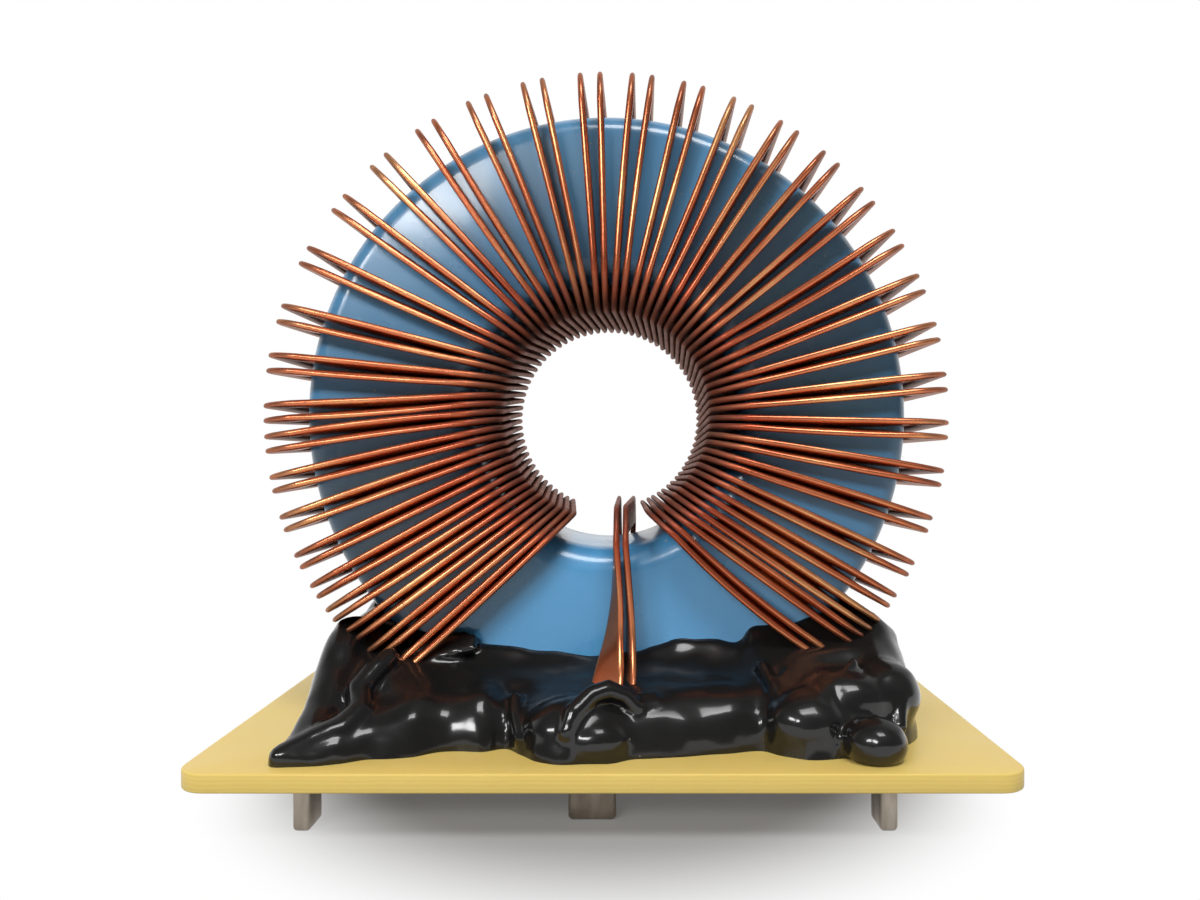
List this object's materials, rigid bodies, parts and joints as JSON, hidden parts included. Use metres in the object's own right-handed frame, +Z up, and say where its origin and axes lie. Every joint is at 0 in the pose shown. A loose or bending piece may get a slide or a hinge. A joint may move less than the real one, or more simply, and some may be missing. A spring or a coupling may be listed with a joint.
{
  "type": "toroidal inductor",
  "caption": "Upright toroidal inductor: flat copper strips wound on edge round a blue coated ring core, potted in black to a pale epoxy-glass board with solder-dipped pins.",
  "frame": {"origin": "middle of the board's underside", "axes": "+Z up from the board through the ring, +X along the row of front pins, -Y towards the viewer, so Y is the ring's axis"},
  "size_m": [0.069, 0.046, 0.0677],
  "materials": {
    "board": "pale yellow epoxy-glass laminate, smooth",
    "core_coating": "light blue epoxy coating, glossy",
    "copper": "enamelled copper strip, glossy red-brown",
    "potting": "black potting compound, glossy and lumpy",
    "solder": "solder-dipped strip ends, dull silver"
  },
  "bodies": {
    "root": {"base_board": "board", "toroid_core": "core_coating", "main_strip_a": "copper", "main_strip_b": "copper", "centre_strip_a": "copper", "centre_strip_b": "copper", "potting": "potting", "pin_left": "solder", "pin_right": "solder", "pin_centre_front": "solder", "pin_centre_rear": "solder"}
  },
  "joints": []
}
